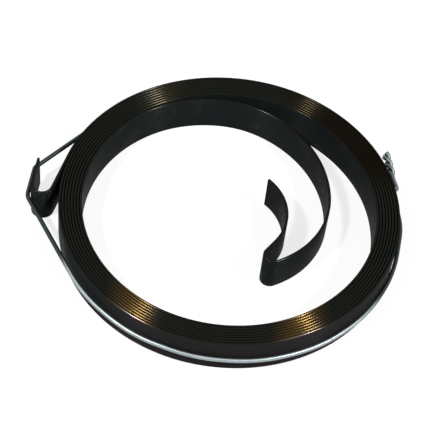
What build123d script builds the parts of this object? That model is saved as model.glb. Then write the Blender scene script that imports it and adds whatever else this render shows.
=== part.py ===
from build123d import *
import math
import os

# Recoil starter spring, packed for its housing and held closed by a wire tie.
# All sizes are in millimetres and all angles in degrees. The winding axis is the Z axis, the lower
# edges of the strip lie on Z = 0, and an angle of 0 points along X. Seen from above, the strip runs
# clockwise from its outer hook into the coil and on to its folded inner end.

# The flat spring strip
strip_width = 8.0
strip_thickness = 0.5

# The packed coil, whose turns lie closer together at the front than at the back
coil_outer_radius = 34.0
coil_turns = 8
front_gap = 0.06
back_gap = 0.14

# The hook at the outer end, which seats on a post of the housing, and its arm up to the cut end
hook_leaving_angle = 168.0
hook_run_length = 8.85
hook_inner_radius = 1.8
hook_arm_radius = 100.0
hook_arm_bend = 3.8

# The loose turn inside the coil: how much tighter each bend is than the coil's innermost turn, and the
# angle that it turns
inner_leaving_angle = 150.0
free_turn_bends = [(2.03, 20.3), (4.43, 40.3), (9.23, 22.2), (4.23, 62.1), (10.53, 65.5)]

# The tight fold at the inner end, which catches the starter pulley, and the run that comes back from it
fold_inner_radius = 1.43
fold_bend = 152.6
return_run_length = 3.0
return_sweep_radius = 11.6
return_sweep_bend = 84.4

# The tie wire, and the slightly tilted plane in which its loop lies. Its round section is drawn with
# flats that stay this close to the circle, so that its many bends stay light.
wire_diameter = 0.9
wire_section_tolerance = 0.016
wire_clearance = 0.16
loop_height = 3.75
loop_rise = 0.75
loop_high_side = 170.0
loop_corner_step = 20.0
hook_clearance = 0.08
tip_bend_radius = 1.0

# The ends of the wire, twisted together and laid back along the coil. Distances along the twist start at
# the front strand's contact angle, distances outwards at the coil's wall and rises at the loop's level.
front_strand_contact = 16.2
front_strand_leaves = 1.0
back_strand_contact = 23.0
back_strand_rise = 1.55
turn_back_centre = 3.0
turn_back_end_out = 2.0
turn_back_end_rise = 0.4
crossing_before_twist = 1.5
crossing_out = 1.75
crossing_rise = 0.62
twist_start = 6.4
twist_length = 5.85
twist_lead = 3.9
twist_strand_gap = 0.05
twist_stand_off = 1.9
twist_spread = 0.25
twist_lift = 0.2
twist_corners_per_turn = 6

# A bend of the wire takes up this share of the shorter straight run beside it
bend_share = 0.45

wire_radius = wire_diameter / 2
loop_reach = coil_outer_radius + wire_clearance + wire_radius


def direction(angle):
    """Unit vector in the plan at an angle from X."""
    return Vector(math.cos(math.radians(angle)), math.sin(math.radians(angle)))


def bearing(point):
    """Angle at which a point of the plan is seen from the winding axis."""
    return math.degrees(math.atan2(point.Y, point.X))


def follow(start, heading, bends):
    """Path of the strip's middle, bend by bend, with the point and heading where it ends.

    A bend is (radius, turn), clockwise when the turn is positive, or (length, 0) for a straight run. The
    path is a list of arcs, as (centre, radius, from angle, turn), and straight runs, as (start, end, heading).
    """
    path = []
    for size, turn in bends:
        if turn == 0:
            end = start + direction(heading) * size
            path.append((start, end, heading))
            start = end
            continue
        side = math.copysign(90, turn)
        centre = start + direction(heading - side) * size
        path.append((centre, size, heading + side, -turn))
        heading -= turn
        start = centre + direction(heading + side) * size
    return path, start, heading


def both_faces(path):
    """Outline edges of the strip on both sides of its middle."""
    edges = []
    half = strip_thickness / 2
    for run in path:
        if len(run) == 3:
            start, end, heading = run
            for side in (-90, 90):
                aside = direction(heading + side) * half
                edges.append(Line(start + aside, end + aside))
        else:
            centre, radius, from_angle, turn = run
            for aside in (-half, half):
                edges.append(CenterArc(centre, radius + aside, from_angle, turn))
    return edges


def cut_across(end, heading):
    """Square cut that ends the strip."""
    aside = direction(heading + 90) * (strip_thickness / 2)
    return Line(end - aside, end + aside)


def coil_crossings():
    """Distances of the strip's middle from the axis, where its turns cross Y behind and in front."""
    outermost = coil_outer_radius - strip_thickness / 2
    behind = [outermost - turn * (strip_thickness + back_gap) for turn in range(coil_turns + 1)]
    in_front = [outermost - turn * (strip_thickness + front_gap) for turn in range(-1, coil_turns)]
    return behind, in_front


def coil_start():
    """Point where the outer hook leaves the coil."""
    behind, in_front = coil_crossings()
    centre = Vector(0, (behind[0] - in_front[0]) / 2)
    return centre + direction(hook_leaving_angle) * ((behind[0] + in_front[0]) / 2)


def coil_bends():
    """Half turns between the crossings, left then right, that wind the strip inwards."""
    behind, in_front = coil_crossings()
    bends = [((behind[0] + in_front[0]) / 2, hook_leaving_angle - 90)]
    for turn in range(coil_turns):
        bends.append(((behind[turn] + in_front[turn + 1]) / 2, 180))
        bends.append(((in_front[turn + 1] + behind[turn + 1]) / 2, 180))
    innermost, turned = bends.pop()
    bends.append((innermost, turned + 90 - inner_leaving_angle))
    return bends


def inner_bends():
    """The loose turn, the fold and the short run back from it."""
    innermost = coil_bends()[-1][0]
    loose_turn = [(innermost - tighter, turn) for tighter, turn in free_turn_bends]
    fold = [(fold_inner_radius + strip_thickness / 2, fold_bend)]
    way_back = [(return_run_length, 0), (return_sweep_radius, -return_sweep_bend)]
    return loose_turn + fold + way_back


def hook_path():
    """Path of the outer hook, from the coil outwards and round to its arm."""
    bend = (hook_inner_radius + strip_thickness / 2, hook_leaving_angle)
    bends = [(hook_run_length, 0), bend, (hook_arm_radius, hook_arm_bend)]
    return follow(coil_start(), hook_leaving_angle + 90, bends)


def make_spring_strip():
    inward, inner_end, inner_heading = follow(coil_start(), hook_leaving_angle - 90, coil_bends() + inner_bends())
    outward, hook_end, hook_heading = hook_path()
    outline = both_faces(inward) + both_faces(outward)
    outline += [cut_across(inner_end, inner_heading), cut_across(hook_end, hook_heading)]
    return extrude(make_face(outline), strip_width)


def loop_level(point):
    """Height of the tilted loop plane over a point of the plan."""
    tilt = loop_rise / loop_reach
    return loop_height + tilt * point.dot(direction(loop_high_side))


def crossing(angle_a, distance_a, angle_b, distance_b):
    """Point where two lines cross, each given by its normal's angle and its distance from the axis."""
    a, b = direction(angle_a), direction(angle_b)
    across = a.X * b.Y - a.Y * b.X
    return Vector(distance_a * b.Y - distance_b * a.Y, distance_b * a.X - distance_a * b.X) / across


def around_coil(first, last):
    """Corners of a loop that lies against the coil from one contact angle clockwise to another."""
    steps = max(1, round((first - last) / loop_corner_step))
    contacts = [first + (last - first) * i / steps for i in range(steps + 1)]
    return [crossing(a, loop_reach, b, loop_reach) for a, b in zip(contacts, contacts[1:])]


def hook_corners():
    """Two corners of the loop outside the hook, between its contact angles in front and behind."""
    (run, bend, arm), hook_end, hook_heading = hook_path()
    around_bend = hook_inner_radius + strip_thickness + hook_clearance + wire_radius
    front_contact = bearing(bend[0]) + math.degrees(math.acos((loop_reach - around_bend) / bend[0].length))
    arm_normal = hook_heading + hook_arm_bend / 2 + 90
    past_arm = arm[0].dot(direction(arm_normal)) + hook_arm_radius + strip_thickness / 2
    past_arm += hook_clearance + wire_radius
    tip = hook_end + direction(hook_heading + 90) * (strip_thickness / 2)
    past_tip = hook_clearance + wire_radius
    back_contact = bearing(tip) - math.degrees(math.acos((loop_reach - past_tip) / tip.length))
    front = crossing(front_contact, loop_reach, arm_normal, past_arm)
    back = crossing(arm_normal, past_arm, back_contact, loop_reach)
    return front_contact, (front, around_bend), (back, tip_bend_radius), back_contact


def beside_twist(along, out, rise):
    """Point near the twist: along the coil's tangent, out from its wall, and above the loop's level."""
    foot = direction(front_strand_contact) * loop_reach
    wall = direction(front_strand_contact) * (coil_outer_radius + out)
    return wall + direction(front_strand_contact + 90) * along + Vector(0, 0, loop_level(foot) + rise)


def strand(first_phase):
    """Corners of one strand of the twist, from its base to its free end."""
    corner_angle = 360 / twist_corners_per_turn
    steps = round(twist_length / twist_lead * twist_corners_per_turn)
    reach = (wire_radius + twist_strand_gap / 2) / math.cos(math.radians(corner_angle / 2))
    corners = []
    for i in range(steps + 1):
        share = i / steps
        swing = direction(first_phase + i * corner_angle) * reach
        out = twist_stand_off + share * twist_spread + swing.X
        rise = share * twist_lift + swing.Y
        corners.append(beside_twist(twist_start + share * twist_length, out, rise))
    return corners


def turned_back():
    """Corners of the back strand, which turns round above the front one and crosses it into the twist."""
    coming = Vector(wire_clearance + wire_radius, back_strand_rise)
    going = Vector(turn_back_end_out, turn_back_end_rise)
    radius = (going - coming).length / 2
    corner = radius * math.tan(math.radians(45 / 2))
    half_octagon = [(-corner, -radius), (-radius, -corner), (-radius, corner), (-corner, radius)]
    corners = []
    for along, across in half_octagon:
        spot = (coming + going) / 2 + (going - coming).normalized() * across
        corners.append(beside_twist(turn_back_centre + along, spot.X, spot.Y))
    corners.append(beside_twist(twist_start - crossing_before_twist, crossing_out, crossing_rise))
    return corners


def wire_corners():
    """Corners of the whole wire from one free end to the other, each with the largest bend it may take."""
    front_contact, front, back, back_contact = hook_corners()
    level_loop = [(corner, loop_reach) for corner in around_coil(front_strand_contact, front_contact)]
    level_loop += [front, back]
    loop = [(corner + Vector(0, 0, loop_level(corner)), largest) for corner, largest in level_loop]
    behind = around_coil(back_contact, back_strand_contact)
    low = loop_level(back[0])
    high = beside_twist(0, 0, back_strand_rise).Z
    for i, corner in enumerate(behind):
        level = low + (high - low) * i / (len(behind) - 1)
        loop.append((corner + Vector(0, 0, level), loop_reach))
    leaving = beside_twist(front_strand_leaves, wire_clearance + wire_radius, 0)
    front_strand = [(corner, loop_reach) for corner in [leaving] + strand(270)]
    back_strand = [(corner, loop_reach) for corner in turned_back() + strand(90)]
    return front_strand[::-1] + loop + back_strand


def wire_path():
    """Straight runs joined by tangent bends."""
    corners, largest_bends = zip(*wire_corners())
    radii = []
    for before, corner, after, largest in zip(corners, corners[1:], corners[2:], largest_bends[1:]):
        arriving = corner - before
        leaving = after - corner
        shorter = min(arriving.length, leaving.length)
        half_turn = math.radians(arriving.get_angle(leaving)) / 2
        radii.append(min(bend_share * shorter / math.tan(half_turn), largest))
    return FilletPolyline(*corners, radius=radii), radii


def make_retaining_wire():
    path, radii = wire_path()
    print("wire length", round(path.length, 1), "tightest bend", round(min(radii), 2))
    flats = math.ceil(math.pi / math.acos(1 - wire_section_tolerance / wire_radius))
    section = Plane(origin=path @ 0, z_dir=path % 0) * RegularPolygon(wire_radius, flats)
    wire = sweep(section, path=path)
    print("swept volume", round(wire.volume, 2), "section by length", round(section.area * path.length, 2))
    return wire


if __name__ == "__main__":
    os.makedirs("parts", exist_ok=True)
    export_step(make_spring_strip(), "parts/spring_strip.step")
    export_step(make_retaining_wire(), "parts/retaining_wire.step")
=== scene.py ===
"""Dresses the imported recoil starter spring: rounded strip edges, steel and zinc finishes, and a studio.

Lengths in the property groups are in metres and angles in radians, as Blender keeps them. Everything is
built in the frame of the CAD part: the winding axis is Z, and the strip's lower edges lie on Z = 0.
"""

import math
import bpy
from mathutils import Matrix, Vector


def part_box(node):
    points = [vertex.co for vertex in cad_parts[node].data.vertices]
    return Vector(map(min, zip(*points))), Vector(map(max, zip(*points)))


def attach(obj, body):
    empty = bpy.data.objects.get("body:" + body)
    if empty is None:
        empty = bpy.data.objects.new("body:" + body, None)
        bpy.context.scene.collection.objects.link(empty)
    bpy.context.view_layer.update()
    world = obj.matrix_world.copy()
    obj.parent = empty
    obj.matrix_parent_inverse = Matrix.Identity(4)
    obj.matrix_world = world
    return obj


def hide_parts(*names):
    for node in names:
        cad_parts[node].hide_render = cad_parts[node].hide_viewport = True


bl_info = {
    "name": "Recoil Starter Spring",
    "version": (1, 0, 0),
    "blender": (4, 5, 0),
    "location": "3D View > Sidebar > Spring",
    "description": "Builds a tied recoil starter spring with rounded strip edges and steel finishes",
    "category": "Object",
}

import bmesh
import bpy
from bpy.props import FloatProperty, FloatVectorProperty, IntProperty, PointerProperty
from mathutils import Matrix, Vector

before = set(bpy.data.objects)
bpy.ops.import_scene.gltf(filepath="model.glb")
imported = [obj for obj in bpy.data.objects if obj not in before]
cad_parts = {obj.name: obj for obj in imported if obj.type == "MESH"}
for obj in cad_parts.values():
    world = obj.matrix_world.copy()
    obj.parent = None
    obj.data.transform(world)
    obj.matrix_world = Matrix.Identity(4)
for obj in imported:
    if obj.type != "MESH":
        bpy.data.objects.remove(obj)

MM = 0.001
IMAGE_WIDTH = 435
SENSOR_WIDTH = 36.0

LOWEST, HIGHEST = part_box("spring_strip")
STRIP_WIDTH = HIGHEST.z - LOWEST.z
COIL_RADIUS = (HIGHEST.y - LOWEST.y) / 2
UP = Vector((0, 0, 1))

# How much tighter each bend of the loose turn is than the innermost packed turn, and its angle in degrees
LOOSE_TURN = [(2.03 * MM, 20.3), (4.43 * MM, 40.3), (9.23 * MM, 22.2), (4.23 * MM, 62.1), (10.53 * MM, 65.5)]

# Corners of the strip sharper than this stay sharp to the eye
SHARP_CORNER = math.radians(50)

# A pair below is where something starts to show and where it shows fully.
# Distances from the winding axis of the coil's outer wall, the free space round it, the outermost turn's
# corner with its painted highlight, and the imported turns
OUTER_WALL = (COIL_RADIUS - 0.1 * MM, COIL_RADIUS - 0.05 * MM)
WALL_ONLY = (COIL_RADIUS + 0.3 * MM, COIL_RADIUS + 0.1 * MM)
HIGHLIGHT_CORNER = (COIL_RADIUS - 0.4 * MM, COIL_RADIUS - 0.2 * MM)
PACKED_TURNS = (COIL_RADIUS - 6.0 * MM, COIL_RADIUS - 5.2 * MM)

# Painted highlights and shade on the edges, a gold-brown tint laid where the lamps' highlights fall and stronger
# in front, and a darker tint that dims the highlight at the back on the right: across the part in shares of the
# coil's radius, then in places across and along it
HIGHLIGHT_BRONZE_STARTS = (0.28, 0.44)
HIGHLIGHT_BRONZE_ENDS = (0.64, 0.48)
HIGHLIGHT_BRONZE_IN_FRONT = (10 * MM, -10 * MM)
HIGHLIGHT_BRONZE_AT_BACK = 0.25
DIM_HIGHLIGHT_STARTS = (0.2, 0.35)
DIM_HIGHLIGHT_ON_RIGHT = (0, 10 * MM)
DIM_HIGHLIGHT_AT_BACK = (5 * MM, 15 * MM)

# The upper half of the outer wall, by height, and the film of oil, by its noise
UPPER_WALL = (3 * MM, 4.5 * MM)
OIL_FILM = (0.5, 0.7)

# Sizes of the steel's marks and smudges, how far the marks' noise is squeezed lengthwise, and their relief
ROLLING_MARK = 0.25 * MM
SMUDGE = 5 * MM
SPECK = 0.5 * MM
ROLLED = 0.04
DRAWN = 0.005
FACE_RELIEF = 1.4
RIM_RELIEF = 0.3

# Painted shade on the wire, darker away from its lit front: along the part, how much sooner it starts on the
# right, how far it wavers, and at the hook
WIRE_SHADE = (-14 * MM, -3 * MM)
SOONER_ON_RIGHT = 0.35
SHADE_WAVER = 8 * MM
HOOK_SHADE = (-28.5 * MM, -31.5 * MM)

# The twist, across and along the part, and the share of the painted shade that is taken off it
TWIST_ACROSS = (20 * MM, 28 * MM)
TWIST_ALONG = (4 * MM, 8 * MM)
TWIST_LESS_SHADE = 0.4

# The zinc's wear and the depth of its crystals
WEAR_SIZE = 4 * MM
WEAR = (0.3, 0.8)
SPANGLE_DEPTH = 0.002 * MM

# Distances from the axis between which the floor's own light rises to full
FULL_GLOW = (0.06, 0.35)


def length(name, default, description):
    return FloatProperty(name=name, description=description, default=default, unit="LENGTH", precision=5)


def angle(name, default, description):
    return FloatProperty(name=name, description=description, default=math.radians(default), subtype="ANGLE")


def colour(name, default, description):
    return FloatVectorProperty(name=name, description=description, default=default, subtype="COLOR", min=0, max=1)


def share(name, default, description):
    return FloatProperty(name=name, description=description, default=default, min=0, max=1, subtype="FACTOR")


def lamp_way(name, default, description):
    return FloatVectorProperty(name=name, description=description, default=default, subtype="DIRECTION")


class StripSettings(bpy.types.PropertyGroup):
    """Shape and finish of the flat spring strip."""

    thickness: length("Thickness", 0.5 * MM, "Thickness of the steel strip")
    edge_radius: length("Edge radius", 0.2 * MM, "Rounding of the strip's long edges")
    edge_segments: IntProperty(name="Edge segments", description="Steps in each rounded edge", default=3, min=1)
    step_angle: angle("Turn step", 2.5, "Largest turn between two sections of the strip")
    turns: IntProperty(name="Turns", description="Packed turns of the coil", default=8, min=1)
    front_gap: length("Gap in front", 0.06 * MM, "Gap between packed turns at the front")
    back_gap: length("Gap behind", 0.14 * MM, "Gap between packed turns at the back")
    hook_angle: angle("Hook angle", 168, "Angle on the coil at which the outer hook leaves it")
    hook_run: length("Hook run", 8.85 * MM, "Straight run from the coil to the outer hook")
    hook_radius: length("Hook radius", 1.8 * MM, "Inside radius of the outer hook")
    arm_radius: length("Arm radius", 100 * MM, "Bend radius of the hook's arm")
    arm_bend: angle("Arm bend", 3.8, "Turn of the hook's arm")
    inner_angle: angle("Inner angle", 150, "Angle on the coil at which the loose turn leaves it")
    fold_radius: length("Fold radius", 1.43 * MM, "Inside radius of the folded inner end")
    fold_bend: angle("Fold bend", 152.6, "Turn of the folded inner end")
    return_run: length("Return run", 3 * MM, "Straight run back from the fold")
    return_radius: length("Return radius", 11.6 * MM, "Bend radius of the strip's inner end")
    return_bend: angle("Return bend", 84.4, "Turn of the strip's inner end")
    steel: colour("Steel", (0.0140, 0.0170, 0.0170), "Oil-tempered steel of the strip's faces")
    smudge: colour("Smudges", (0.0240, 0.0250, 0.0245), "Steel where the film of oil was touched")
    outside: colour("Outside", (0.0260, 0.0210, 0.0235), "Browner steel of the coil's outer wall")
    outside_top: colour("Outside, upper half", (0.0225, 0.0207, 0.0210), "Steel of the outer wall's upper half")
    rim: colour("Rim", (0.0150, 0.0165, 0.0130), "Steel of the strip's long edges")
    # Gold-brown colour laid only where the lamps' highlights fall on the edges: a painted highlight
    highlight_bronze: colour("Bronze", (0.0620, 0.0390, 0.0130), "Temper colour on parts of the strip's long edges")
    # Darker edge colour that dims a lamp's highlight at the back on the right: painted shade
    dimmed_highlight_rim: colour("Scaled edges", (0.0120, 0.0090, 0.0050), "Duller edges at the back on the right")
    # Brighter steel for the outermost corner, laid only inside the highlight sectors: a painted highlight
    bare: colour("Bare steel", (0.1000, 0.0800, 0.0700), "Steel rubbed bare on the coil's outermost corner")
    bareness: share("Bareness", 0.35, "How far the faces show bare metal and not matt scale")
    roughness: share("Roughness", 0.34, "Roughness of the strip's faces")
    rim_roughness: share("Rim roughness", 0.22, "Roughness of the strip's long edges")
    grain: share("Grain", 1.0, "How much smoother the steel is along its rolling marks than across them")
    grazing: share("Grazing gloss", 0.3, "Share of its gloss that the scaled steel keeps when seen at a low angle")
    drawing_mark: length("Drawing marks", 0.05 * MM, "Width of the fine lines along the strip's long edges")
    mark_depth: length("Drawing mark depth", 0.0015 * MM, "Depth of the fine lines along the long edges")


class WireSettings(bpy.types.PropertyGroup):
    """Fit and finish of the tie wire."""

    draw_in: length("Draw in", 0.14 * MM, "How far the wire is drawn in to the coil's wall in front")
    weld: length("Weld distance", 0.0005 * MM, "Distance within which the plain wire's corners are one")
    left_angle: angle("Left angle", -115, "Angle on the coil at which the drawn-in part starts")
    right_angle: angle("Right angle", 4, "Angle on the coil at which the drawn-in part ends")
    blend: angle("Blend", 12, "Angle over which the wire is drawn in")
    zinc: colour("Zinc", (0.34, 0.39, 0.40), "Bright zinc of the tie wire")
    dull_zinc: colour("Dull zinc", (0.16, 0.19, 0.195), "Dull zinc of the tie wire")
    # Dark zinc for the painted shade on the wire away from its lit front
    shaded_zinc: colour("Oiled zinc", (0.036, 0.048, 0.048), "Zinc under dark oil, away from the front")
    roughness: share("Roughness", 0.42, "Roughness of the zinc")
    spangle_size: length("Spangle size", 0.4 * MM, "Size of the zinc's crystals")


class StageSettings(bpy.types.PropertyGroup):
    """Floor, lamps and camera."""

    floor_size: length("Floor size", 6.0, "Side of the square floor")
    floor_colour: share("Floor colour", 0.25, "Share of its light that the pale floor gives back")
    floor_glow: share("Floor glow", 0.8, "Light of its own that the floor shows, so that its shadows stay pale")
    sky: FloatProperty(name="Sky", description="Strength of the even light from all sides", default=0.12)
    lamp_distance: length("Lamp distance", 0.6, "Distance of the lamps from the winding axis")
    lamp_size: length("Lamp size", 0.05, "Side of each square lamp")
    lamp_power: FloatProperty(name="Lamp power", description="Power of each lamp", default=2.5, unit="POWER")
    left_lamp: lamp_way("Left lamp", (-0.46, -0.33, 0.82), "Way to the left lamp")
    right_lamp: lamp_way("Right lamp", (0.60, -0.27, 0.75), "Way to the right lamp")
    camera_elevation: angle("Camera elevation", 51.06, "Height of the camera above the horizon")
    camera_roll: angle("Camera roll", 7.05, "Turn of the camera about its own axis")
    camera_distance: length("Camera distance", 302.5 * MM, "Distance of the camera from what it aims at")
    camera_aim: FloatVectorProperty(
        name="Camera aim",
        description="Point that the camera aims at",
        default=(-2.01 * MM, 2.01 * MM, 0),
        subtype="TRANSLATION",
    )
    focal_pixels: FloatProperty(
        name="Focal length",
        description="Focal length in pixels of the image",
        default=1493,
        subtype="PIXEL",
    )


class Value:
    """A number that varies over a surface, with the usual operators."""

    def __init__(self, material, socket):
        self.material = material
        self.socket = socket

    def maths(self, operation, *others):
        """Another value, worked out from this one by a Math node."""
        inputs = {i: getattr(x, "socket", x) for i, x in enumerate((self, *others))}
        return self.material.node("ShaderNodeMath", {"operation": operation}, inputs)

    def __add__(self, other):
        return self.maths("ADD", other)

    __radd__ = __add__

    def __mul__(self, other):
        return self.maths("MULTIPLY", other)

    __rmul__ = __mul__

    def __sub__(self, other):
        return self.maths("SUBTRACT", other)

    def __rsub__(self, other):
        return self * -1 + other

    def __truediv__(self, other):
        return self.maths("DIVIDE", other)

    def __pow__(self, other):
        return self.maths("POWER", other)

    def between(self, low, high):
        """0 at low, 1 at high and smooth between, for low above high too."""
        inputs = {"Value": self, "From Min": low, "From Max": high}
        return self.material.node("ShaderNodeMapRange", {"interpolation_type": "SMOOTHSTEP"}, inputs)


class Material:
    """A Principled material that is built node by node."""

    def __init__(self, name, metallic=1.0, roughness=0.3):
        self.data = bpy.data.materials.new(name)
        self.data.use_nodes = True
        self.tree = self.data.node_tree
        self.shader = self.tree.nodes["Principled BSDF"]
        self.shader.inputs["Metallic"].default_value = metallic
        self.shader.inputs["Roughness"].default_value = roughness

    def node(self, kind, settings, inputs, output=0):
        """A new node with its settings made first, then its inputs, as a value of one of its outputs."""
        node = self.tree.nodes.new(kind)
        for name, setting in settings.items():
            setattr(node, name, setting)
        for name, value in inputs.items():
            value = getattr(value, "socket", value)
            if isinstance(value, bpy.types.NodeSocket):
                self.tree.links.new(value, node.inputs[name])
            else:
                node.inputs[name].default_value = value
        return Value(self, node.outputs[output])

    def place(self):
        """Object coordinates."""
        return self.node("ShaderNodeTexCoord", {}, {}, "Object")

    def parts(self, vector):
        """The three parts of a vector."""
        x = self.node("ShaderNodeSeparateXYZ", {}, {"Vector": vector})
        return x, *[Value(self, x.socket.node.outputs[i]) for i in (1, 2)]

    def vector(self, x, y, z):
        return self.node("ShaderNodeCombineXYZ", {}, {"X": x, "Y": y, "Z": z})

    def noise(self, vector, size, detail=3.0, roughness=0.5):
        """Noise from 0 to 1 whose lumps are about this size."""
        inputs = {"Vector": vector, "Scale": 1 / size, "Detail": detail, "Roughness": roughness}
        return self.node("ShaderNodeTexNoise", {}, inputs, "Fac")

    def mix(self, factor, first, second):
        """Colour between the first and the second."""
        settings = {"data_type": "RGBA"}
        colours = [x if isinstance(x, Value) else (*x, 1) for x in (first, second)]
        return self.node("ShaderNodeMix", settings, {0: factor, 6: colours[0], 7: colours[1]}, 2)

    def bump(self, height, depth):
        """Makes the surface's light and shade follow a height from 0 to 1."""
        inputs = {"Height": height, "Strength": 1.0, "Distance": depth}
        return self.node("ShaderNodeBump", {}, inputs, "Normal")

    def use(self, **inputs):
        """Links values to the shader's sockets, named in lower case with underscores."""
        for name, value in inputs.items():
            self.tree.links.new(value.socket, self.shader.inputs[name.replace("_", " ").title()])


def polar(material):
    """Where a point is across and along the part, round its axis, away from it and above the floor."""
    x, y, z = material.parts(material.place())
    radius = (x * x + y * y) ** 0.5
    round_axis = y.maths("ARCTAN2", x) * COIL_RADIUS
    return x, y, round_axis, radius, z


def steel_tint(steel, strip, rim, film):
    """Dark faces with smudges, a browner outer wall, and edges with painted highlights: a gold-brown tint where
    the lamps' highlights fall, a brighter outermost corner there, and a darker tint that dims the highlight at the
    back on the right.
    """
    across, forward, round_axis, radius, height = polar(steel)
    sideways = (across * across) ** 0.5 / COIL_RADIUS
    # The gold-brown tint's mask follows the sectors where the lamps' highlights fall, weaker at the back: a
    # painted highlight
    highlight_bronze = sideways.between(*HIGHLIGHT_BRONZE_STARTS) * sideways.between(*HIGHLIGHT_BRONZE_ENDS)
    highlight_bronze = highlight_bronze * (forward.between(*HIGHLIGHT_BRONZE_IN_FRONT) * (1 - HIGHLIGHT_BRONZE_AT_BACK) + HIGHLIGHT_BRONZE_AT_BACK)
    highlight_bronze = highlight_bronze * radius.between(*PACKED_TURNS)
    # Brighter outermost corner only where the gold-brown highlight tint is: a painted highlight
    corner_highlight = highlight_bronze * highlight_bronze * radius.between(*HIGHLIGHT_CORNER)
    # Darkens the edges at the back on the right, where a lamp's highlight falls: painted shade
    dimmed_highlight = sideways.between(*DIM_HIGHLIGHT_STARTS) * across.between(*DIM_HIGHLIGHT_ON_RIGHT) * forward.between(*DIM_HIGHLIGHT_AT_BACK)
    rim_tint = steel.mix(highlight_bronze, tuple(strip.rim), tuple(strip.highlight_bronze))
    rim_tint = steel.mix(dimmed_highlight, rim_tint, tuple(strip.dimmed_highlight_rim))
    rim_tint = steel.mix(corner_highlight, rim_tint, tuple(strip.bare))
    outside = radius.between(*OUTER_WALL) * radius.between(*WALL_ONLY)
    wall = steel.mix(height.between(*UPPER_WALL), tuple(strip.outside), tuple(strip.outside_top))
    face = steel.mix(film, tuple(strip.steel), tuple(strip.smudge))
    return steel.mix(rim, steel.mix(outside, face, wall), rim_tint)


def spring_steel(strip):
    """Dark oil-tempered steel, browner outside, with edges drawn to fine lines along the strip and painted
    highlights on the edges.
    """
    steel = Material("Spring steel")
    steel.shader.inputs["Anisotropic"].default_value = strip.grain
    steel.shader.inputs["Anisotropic Rotation"].default_value = 0.25
    steel.shader.inputs["Specular Tint"].default_value = (*[strip.grazing] * 3, 1)
    steel.shader.inputs["IOR"].default_value = 1.1
    across, forward, round_axis, radius, height = polar(steel)
    rolled = steel.vector(round_axis * ROLLED, radius * ROLLED, height)
    rolling_marks = steel.noise(rolled, ROLLING_MARK, detail=4)
    drawn = steel.vector(round_axis * DRAWN, radius, height)
    drawing_marks = steel.noise(drawn, strip.drawing_mark, detail=2)
    film = steel.noise(steel.place(), SMUDGE, detail=4, roughness=0.6).between(*OIL_FILM)
    specks = steel.noise(steel.place(), SPECK)
    rim = height.between(STRIP_WIDTH - 0.9 * strip.edge_radius, STRIP_WIDTH - 0.5 * strip.edge_radius)
    face_roughness = (rolling_marks - 0.5) * 0.12 + (specks - 0.5) * 0.1 - film * 0.06 + strip.roughness
    roughness = face_roughness * (1 - rim) + rim * strip.rim_roughness
    metallic = (1 - rim) * strip.bareness + rim
    relief = rolling_marks * (1 - rim) * FACE_RELIEF + drawing_marks * rim * RIM_RELIEF
    steel.use(base_color=steel_tint(steel, strip, rim, film), roughness=roughness, metallic=metallic)
    steel.use(normal=steel.bump(relief, strip.mark_depth))
    return steel.data


def tie_zinc(wire):
    """Galvanised wire with fine crystals and dull patches, and painted shade that darkens it at the hook and
    behind, away from its lit front.
    """
    zinc = Material("Galvanised wire")
    place = zinc.place()
    x, y, z = zinc.parts(place)
    crystals = zinc.noise(place, wire.spangle_size, detail=2)
    wear = zinc.noise(place, WEAR_SIZE, detail=3)
    # Painted shade: the wire darkens away from its lit front, sooner on the right, at the hook, and less on the
    # twist
    sooner = x.maths("MAXIMUM", 0) * SOONER_ON_RIGHT
    painted_wire_shade = (y + sooner + (wear - 0.5) * SHADE_WAVER).between(*WIRE_SHADE)
    twist = x.between(*TWIST_ACROSS) * y.between(*TWIST_ALONG)
    painted_wire_shade = (painted_wire_shade * (1 - twist * TWIST_LESS_SHADE)).maths("MAXIMUM", x.between(*HOOK_SHADE))
    dull = (crystals - 0.5) * 0.4 + wear.between(*WEAR) * 0.4 + 0.1
    tint = zinc.mix(dull, tuple(wire.zinc), tuple(wire.dull_zinc))
    tint = zinc.mix(painted_wire_shade, tint, tuple(wire.shaded_zinc))
    roughness = (crystals - 0.5) * 0.16 + wire.roughness
    zinc.use(base_color=tint, roughness=roughness)
    zinc.use(normal=zinc.bump(crystals, SPANGLE_DEPTH))
    return zinc.data


def direction(turn):
    """Unit vector in the plan at an angle from X."""
    return Vector((math.cos(turn), math.sin(turn), 0))


def coil_crossings(strip):
    """Distances of the strip's middle from the axis, where its turns cross Y behind and in front."""
    outermost = COIL_RADIUS - strip.thickness / 2
    behind = [outermost - turn * (strip.thickness + strip.back_gap) for turn in range(strip.turns + 1)]
    in_front = [outermost - turn * (strip.thickness + strip.front_gap) for turn in range(-1, strip.turns)]
    return behind, in_front


def coil_bends(strip):
    """Half turns between the crossings that wind the strip inwards from its outer hook."""
    behind, in_front = coil_crossings(strip)
    bends = [((behind[0] + in_front[0]) / 2, strip.hook_angle - math.pi / 2)]
    for turn in range(strip.turns):
        bends.append(((behind[turn] + in_front[turn + 1]) / 2, math.pi))
        bends.append(((in_front[turn + 1] + behind[turn + 1]) / 2, math.pi))
    innermost, turned = bends.pop()
    bends.append((innermost, turned + math.pi / 2 - strip.inner_angle))
    return bends


def inner_bends(strip):
    """The loose turn, the fold and the short run back from it."""
    innermost = coil_bends(strip)[-1][0]
    loose = [(innermost - tighter, math.radians(turned)) for tighter, turned in LOOSE_TURN]
    fold = (strip.fold_radius + strip.thickness / 2, strip.fold_bend)
    return [*loose, fold, (strip.return_run, 0), (strip.return_radius, -strip.return_bend)]


def hook_bends(strip):
    """The run out to the hook, its bend and its arm."""
    bend = (strip.hook_radius + strip.thickness / 2, strip.hook_angle)
    return [(strip.hook_run, 0), bend, (strip.arm_radius, strip.arm_bend)]


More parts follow.
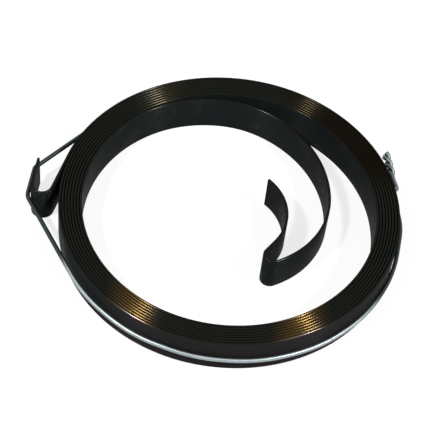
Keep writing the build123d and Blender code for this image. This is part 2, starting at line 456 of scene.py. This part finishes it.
def sweep_section(mesh, edges, start, heading, bends, step_angle):
    """Carries the edges of a section along bends, and returns those at the end.

    A bend is (radius, turn), clockwise when the turn is positive, or (length, 0) for a straight run.
    """
    for size, turned in bends:
        if turned == 0:
            moved = bmesh.ops.extrude_edge_only(mesh, edges=edges)["geom"]
            corners = [x for x in moved if isinstance(x, bmesh.types.BMVert)]
            start = start + direction(heading) * size
            bmesh.ops.translate(mesh, verts=corners, vec=direction(heading) * size)
        else:
            aside = heading - math.copysign(math.pi / 2, turned)
            centre = start + direction(aside) * size
            steps = max(2, math.ceil(abs(turned) / step_angle))
            moved = bmesh.ops.spin(
                mesh, geom=edges, cent=centre, axis=UP, dvec=(0, 0, 0), angle=-turned, steps=steps, use_merge=False
            )["geom_last"]
            start = centre + direction(aside + math.pi - turned) * size
            heading -= turned
        edges = [x for x in moved if isinstance(x, bmesh.types.BMEdge)]
    return edges


def rounded_section(mesh, strip, middle, across):
    """Edges of the strip's upright section with its corners rounded."""
    place = Matrix.Translation(middle + UP * STRIP_WIDTH / 2) @ Matrix(
        [
            [across.x * strip.thickness / 2, 0, 0, 0],
            [across.y * strip.thickness / 2, 0, 0, 0],
            [0, STRIP_WIDTH / 2, 0, 0],
            [0, 0, 0, 1],
        ]
    )
    bmesh.ops.create_grid(mesh, x_segments=1, y_segments=1, size=1, matrix=place)
    bmesh.ops.bevel(
        mesh,
        geom=mesh.verts[:],
        affect="VERTICES",
        offset=strip.edge_radius,
        offset_type="OFFSET",
        segments=strip.edge_segments,
        profile=0.5,
        material=-1,
    )
    edges = mesh.edges[:]
    bmesh.ops.delete(mesh, geom=mesh.faces[:], context="FACES_ONLY")
    return edges


def strip_mesh(strip):
    """The whole strip, swept both ways from the point where its hook leaves the coil."""
    mesh = bmesh.new()
    behind, in_front = coil_crossings(strip)
    across = direction(strip.hook_angle)
    start = Vector((0, (behind[0] - in_front[0]) / 2, 0)) + across * (behind[0] + in_front[0]) / 2
    section = rounded_section(mesh, strip, start, across)
    inwards = strip.hook_angle - math.pi / 2
    bends = coil_bends(strip) + inner_bends(strip)
    inner_end = sweep_section(mesh, section, start, inwards, bends, strip.step_angle)
    hook_end = sweep_section(mesh, section, start, inwards + math.pi, hook_bends(strip), strip.step_angle)
    bmesh.ops.holes_fill(mesh, edges=inner_end + hook_end)
    bmesh.ops.recalc_face_normals(mesh, faces=mesh.faces[:])
    return mesh


def new_piece(name, mesh, material):
    """Turns a bmesh into a smooth object of the scene."""
    data = bpy.data.meshes.new(name)
    mesh.to_mesh(data)
    mesh.free()
    data.materials.append(material)
    data.shade_smooth()
    piece = bpy.data.objects.new(name, data)
    bpy.context.scene.collection.objects.link(piece)
    return piece


class SPRING_OT_strip(bpy.types.Operator):
    """Build the spring strip with rounded edges in place of the plain one"""

    bl_idname = "spring.strip"
    bl_label = "Spring Strip"

    def execute(self, context):
        strip = context.scene.spring_strip
        piece = new_piece("strip", strip_mesh(strip), spring_steel(strip))
        piece.data.set_sharp_from_angle(angle=SHARP_CORNER)
        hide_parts("spring_strip")
        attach(piece, "root")
        return {"FINISHED"}


def ease(amount):
    """Smooth step from 0 to 1."""
    amount = min(max(amount, 0), 1)
    return amount * amount * (3 - 2 * amount)


def wire_mesh(wire, plain):
    """The plain wire with its corners joined, drawn in to the coil's wall in front."""
    mesh = bmesh.new()
    mesh.from_mesh(plain.data)
    mesh.transform(plain.matrix_world)
    bmesh.ops.remove_doubles(mesh, verts=mesh.verts[:], dist=wire.weld)
    bmesh.ops.recalc_face_normals(mesh, faces=mesh.faces[:])
    for corner in mesh.verts:
        turn = math.atan2(corner.co.y, corner.co.x)
        from_left = ease((turn - wire.left_angle) / wire.blend)
        from_right = ease((wire.right_angle - turn) / wire.blend)
        corner.co -= direction(turn) * wire.draw_in * from_left * from_right
    return mesh


class SPRING_OT_wire(bpy.types.Operator):
    """Build the tie wire close to the coil in place of the plain one"""

    bl_idname = "spring.wire"
    bl_label = "Tie Wire"

    def execute(self, context):
        wire = context.scene.spring_wire
        piece = new_piece("tie_wire", wire_mesh(wire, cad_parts["retaining_wire"]), tie_zinc(wire))
        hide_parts("retaining_wire")
        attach(piece, "root")
        return {"FINISHED"}


def pale_floor(stage):
    """Pale matt floor with a glow of its own for eyes and reflections, stronger far from the part."""
    floor = Material("Pale floor", metallic=0.0, roughness=0.9)
    floor.shader.inputs["Base Color"].default_value = (*[stage.floor_colour] * 3, 1)
    floor.shader.inputs["Emission Strength"].default_value = 1.0
    x, y, z = floor.parts(floor.place())
    far = ((x * x + y * y) ** 0.5).between(*FULL_GLOW)
    paths = floor.node("ShaderNodeLightPath", {}, {}, "Is Camera Ray").socket.node.outputs
    seen = Value(floor, paths["Is Camera Ray"])
    for other in ("Is Glossy Ray", "Is Transmission Ray"):
        seen = seen.maths("MAXIMUM", Value(floor, paths[other]))
    glow = floor.mix(far, [stage.floor_glow] * 3, (1, 1, 1))
    floor.use(emission_color=floor.mix(seen, (0, 0, 0), glow))
    return floor.data


def make_floor(stage):
    """Large square floor just under the part."""
    mesh = bmesh.new()
    bmesh.ops.create_grid(mesh, x_segments=1, y_segments=1, size=stage.floor_size / 2)
    floor = new_piece("floor", mesh, pale_floor(stage))


def make_sky(stage):
    """Even light from all sides, white to the eye and in reflections."""
    world = bpy.data.worlds.new("Studio")
    world.use_nodes = True
    bpy.context.scene.world = world
    tree = world.node_tree
    paths = tree.nodes.new("ShaderNodeLightPath")
    seen = tree.nodes.new("ShaderNodeMath")
    seen.operation = "MAXIMUM"
    tree.links.new(paths.outputs["Is Camera Ray"], seen.inputs[0])
    tree.links.new(paths.outputs["Is Glossy Ray"], seen.inputs[1])
    strength = tree.nodes.new("ShaderNodeMapRange")
    tree.links.new(seen.outputs[0], strength.inputs["Value"])
    strength.inputs["To Min"].default_value = stage.sky
    strength.inputs["To Max"].default_value = 1.0
    background = tree.nodes["Background"]
    background.inputs["Color"].default_value = (1, 1, 1, 1)
    tree.links.new(strength.outputs[0], background.inputs["Strength"])


def make_lamp(name, way, stage):
    """Square softbox that faces the part."""
    lamp = bpy.data.lights.new(name, "AREA")
    lamp.shape = "SQUARE"
    lamp.size = stage.lamp_size
    lamp.energy = stage.lamp_power
    holder = bpy.data.objects.new(name, lamp)
    way = Vector(way).normalized()
    holder.location = way * stage.lamp_distance
    holder.rotation_euler = way.to_track_quat("Z", "Y").to_euler()
    bpy.context.scene.collection.objects.link(holder)


def make_camera(stage):
    """Camera at the photograph's viewing angle."""
    lens = bpy.data.cameras.new("camera")
    lens.sensor_width = SENSOR_WIDTH
    lens.lens = stage.focal_pixels / IMAGE_WIDTH * SENSOR_WIDTH
    lens.clip_start = 0.01
    camera = bpy.data.objects.new("camera", lens)
    elevation = stage.camera_elevation
    back = Vector((0, -math.cos(elevation), math.sin(elevation)))
    camera.location = Vector(stage.camera_aim) + back * stage.camera_distance
    upright = back.to_track_quat("Z", "Y").to_matrix()
    camera.rotation_euler = (upright @ Matrix.Rotation(stage.camera_roll, 3, "Z")).to_euler()
    bpy.context.scene.collection.objects.link(camera)
    bpy.context.scene.camera = camera


class SPRING_OT_stage(bpy.types.Operator):
    """Set the floor, the light and the camera"""

    bl_idname = "spring.stage"
    bl_label = "Stage"

    def execute(self, context):
        stage = context.scene.spring_stage
        make_floor(stage)
        make_sky(stage)
        make_lamp("left lamp", stage.left_lamp, stage)
        make_lamp("right lamp", stage.right_lamp, stage)
        make_camera(stage)
        context.scene.view_settings.view_transform = "Standard"
        return {"FINISHED"}


class SPRING_PT_sidebar(bpy.types.Panel):
    """Buttons and sizes of the spring"""

    bl_label = "Recoil Starter Spring"
    bl_idname = "SPRING_PT_sidebar"
    bl_space_type = "VIEW_3D"
    bl_region_type = "UI"
    bl_category = "Spring"

    def draw(self, context):
        for operator, settings in (
            (SPRING_OT_strip, context.scene.spring_strip),
            (SPRING_OT_wire, context.scene.spring_wire),
            (SPRING_OT_stage, context.scene.spring_stage),
        ):
            box = self.layout.box()
            box.operator(operator.bl_idname)
            for name in settings.bl_rna.properties.keys():
                if name not in ("rna_type", "name"):
                    box.prop(settings, name)


CLASSES = (
    StripSettings,
    WireSettings,
    StageSettings,
    SPRING_OT_strip,
    SPRING_OT_wire,
    SPRING_OT_stage,
    SPRING_PT_sidebar,
)


def register():
    for cls in CLASSES:
        bpy.utils.register_class(cls)
    bpy.types.Scene.spring_strip = PointerProperty(type=StripSettings)
    bpy.types.Scene.spring_wire = PointerProperty(type=WireSettings)
    bpy.types.Scene.spring_stage = PointerProperty(type=StageSettings)


def unregister():
    del bpy.types.Scene.spring_stage
    del bpy.types.Scene.spring_wire
    del bpy.types.Scene.spring_strip
    for cls in reversed(CLASSES):
        bpy.utils.unregister_class(cls)


def corners(box):
    """A box as plain lists of numbers."""
    return [list(corner) for corner in box]


def main():
    register()
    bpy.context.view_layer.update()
    bpy.ops.spring.strip()
    bpy.ops.spring.wire()
    bpy.ops.spring.stage()


if __name__ == "__main__":
    main()
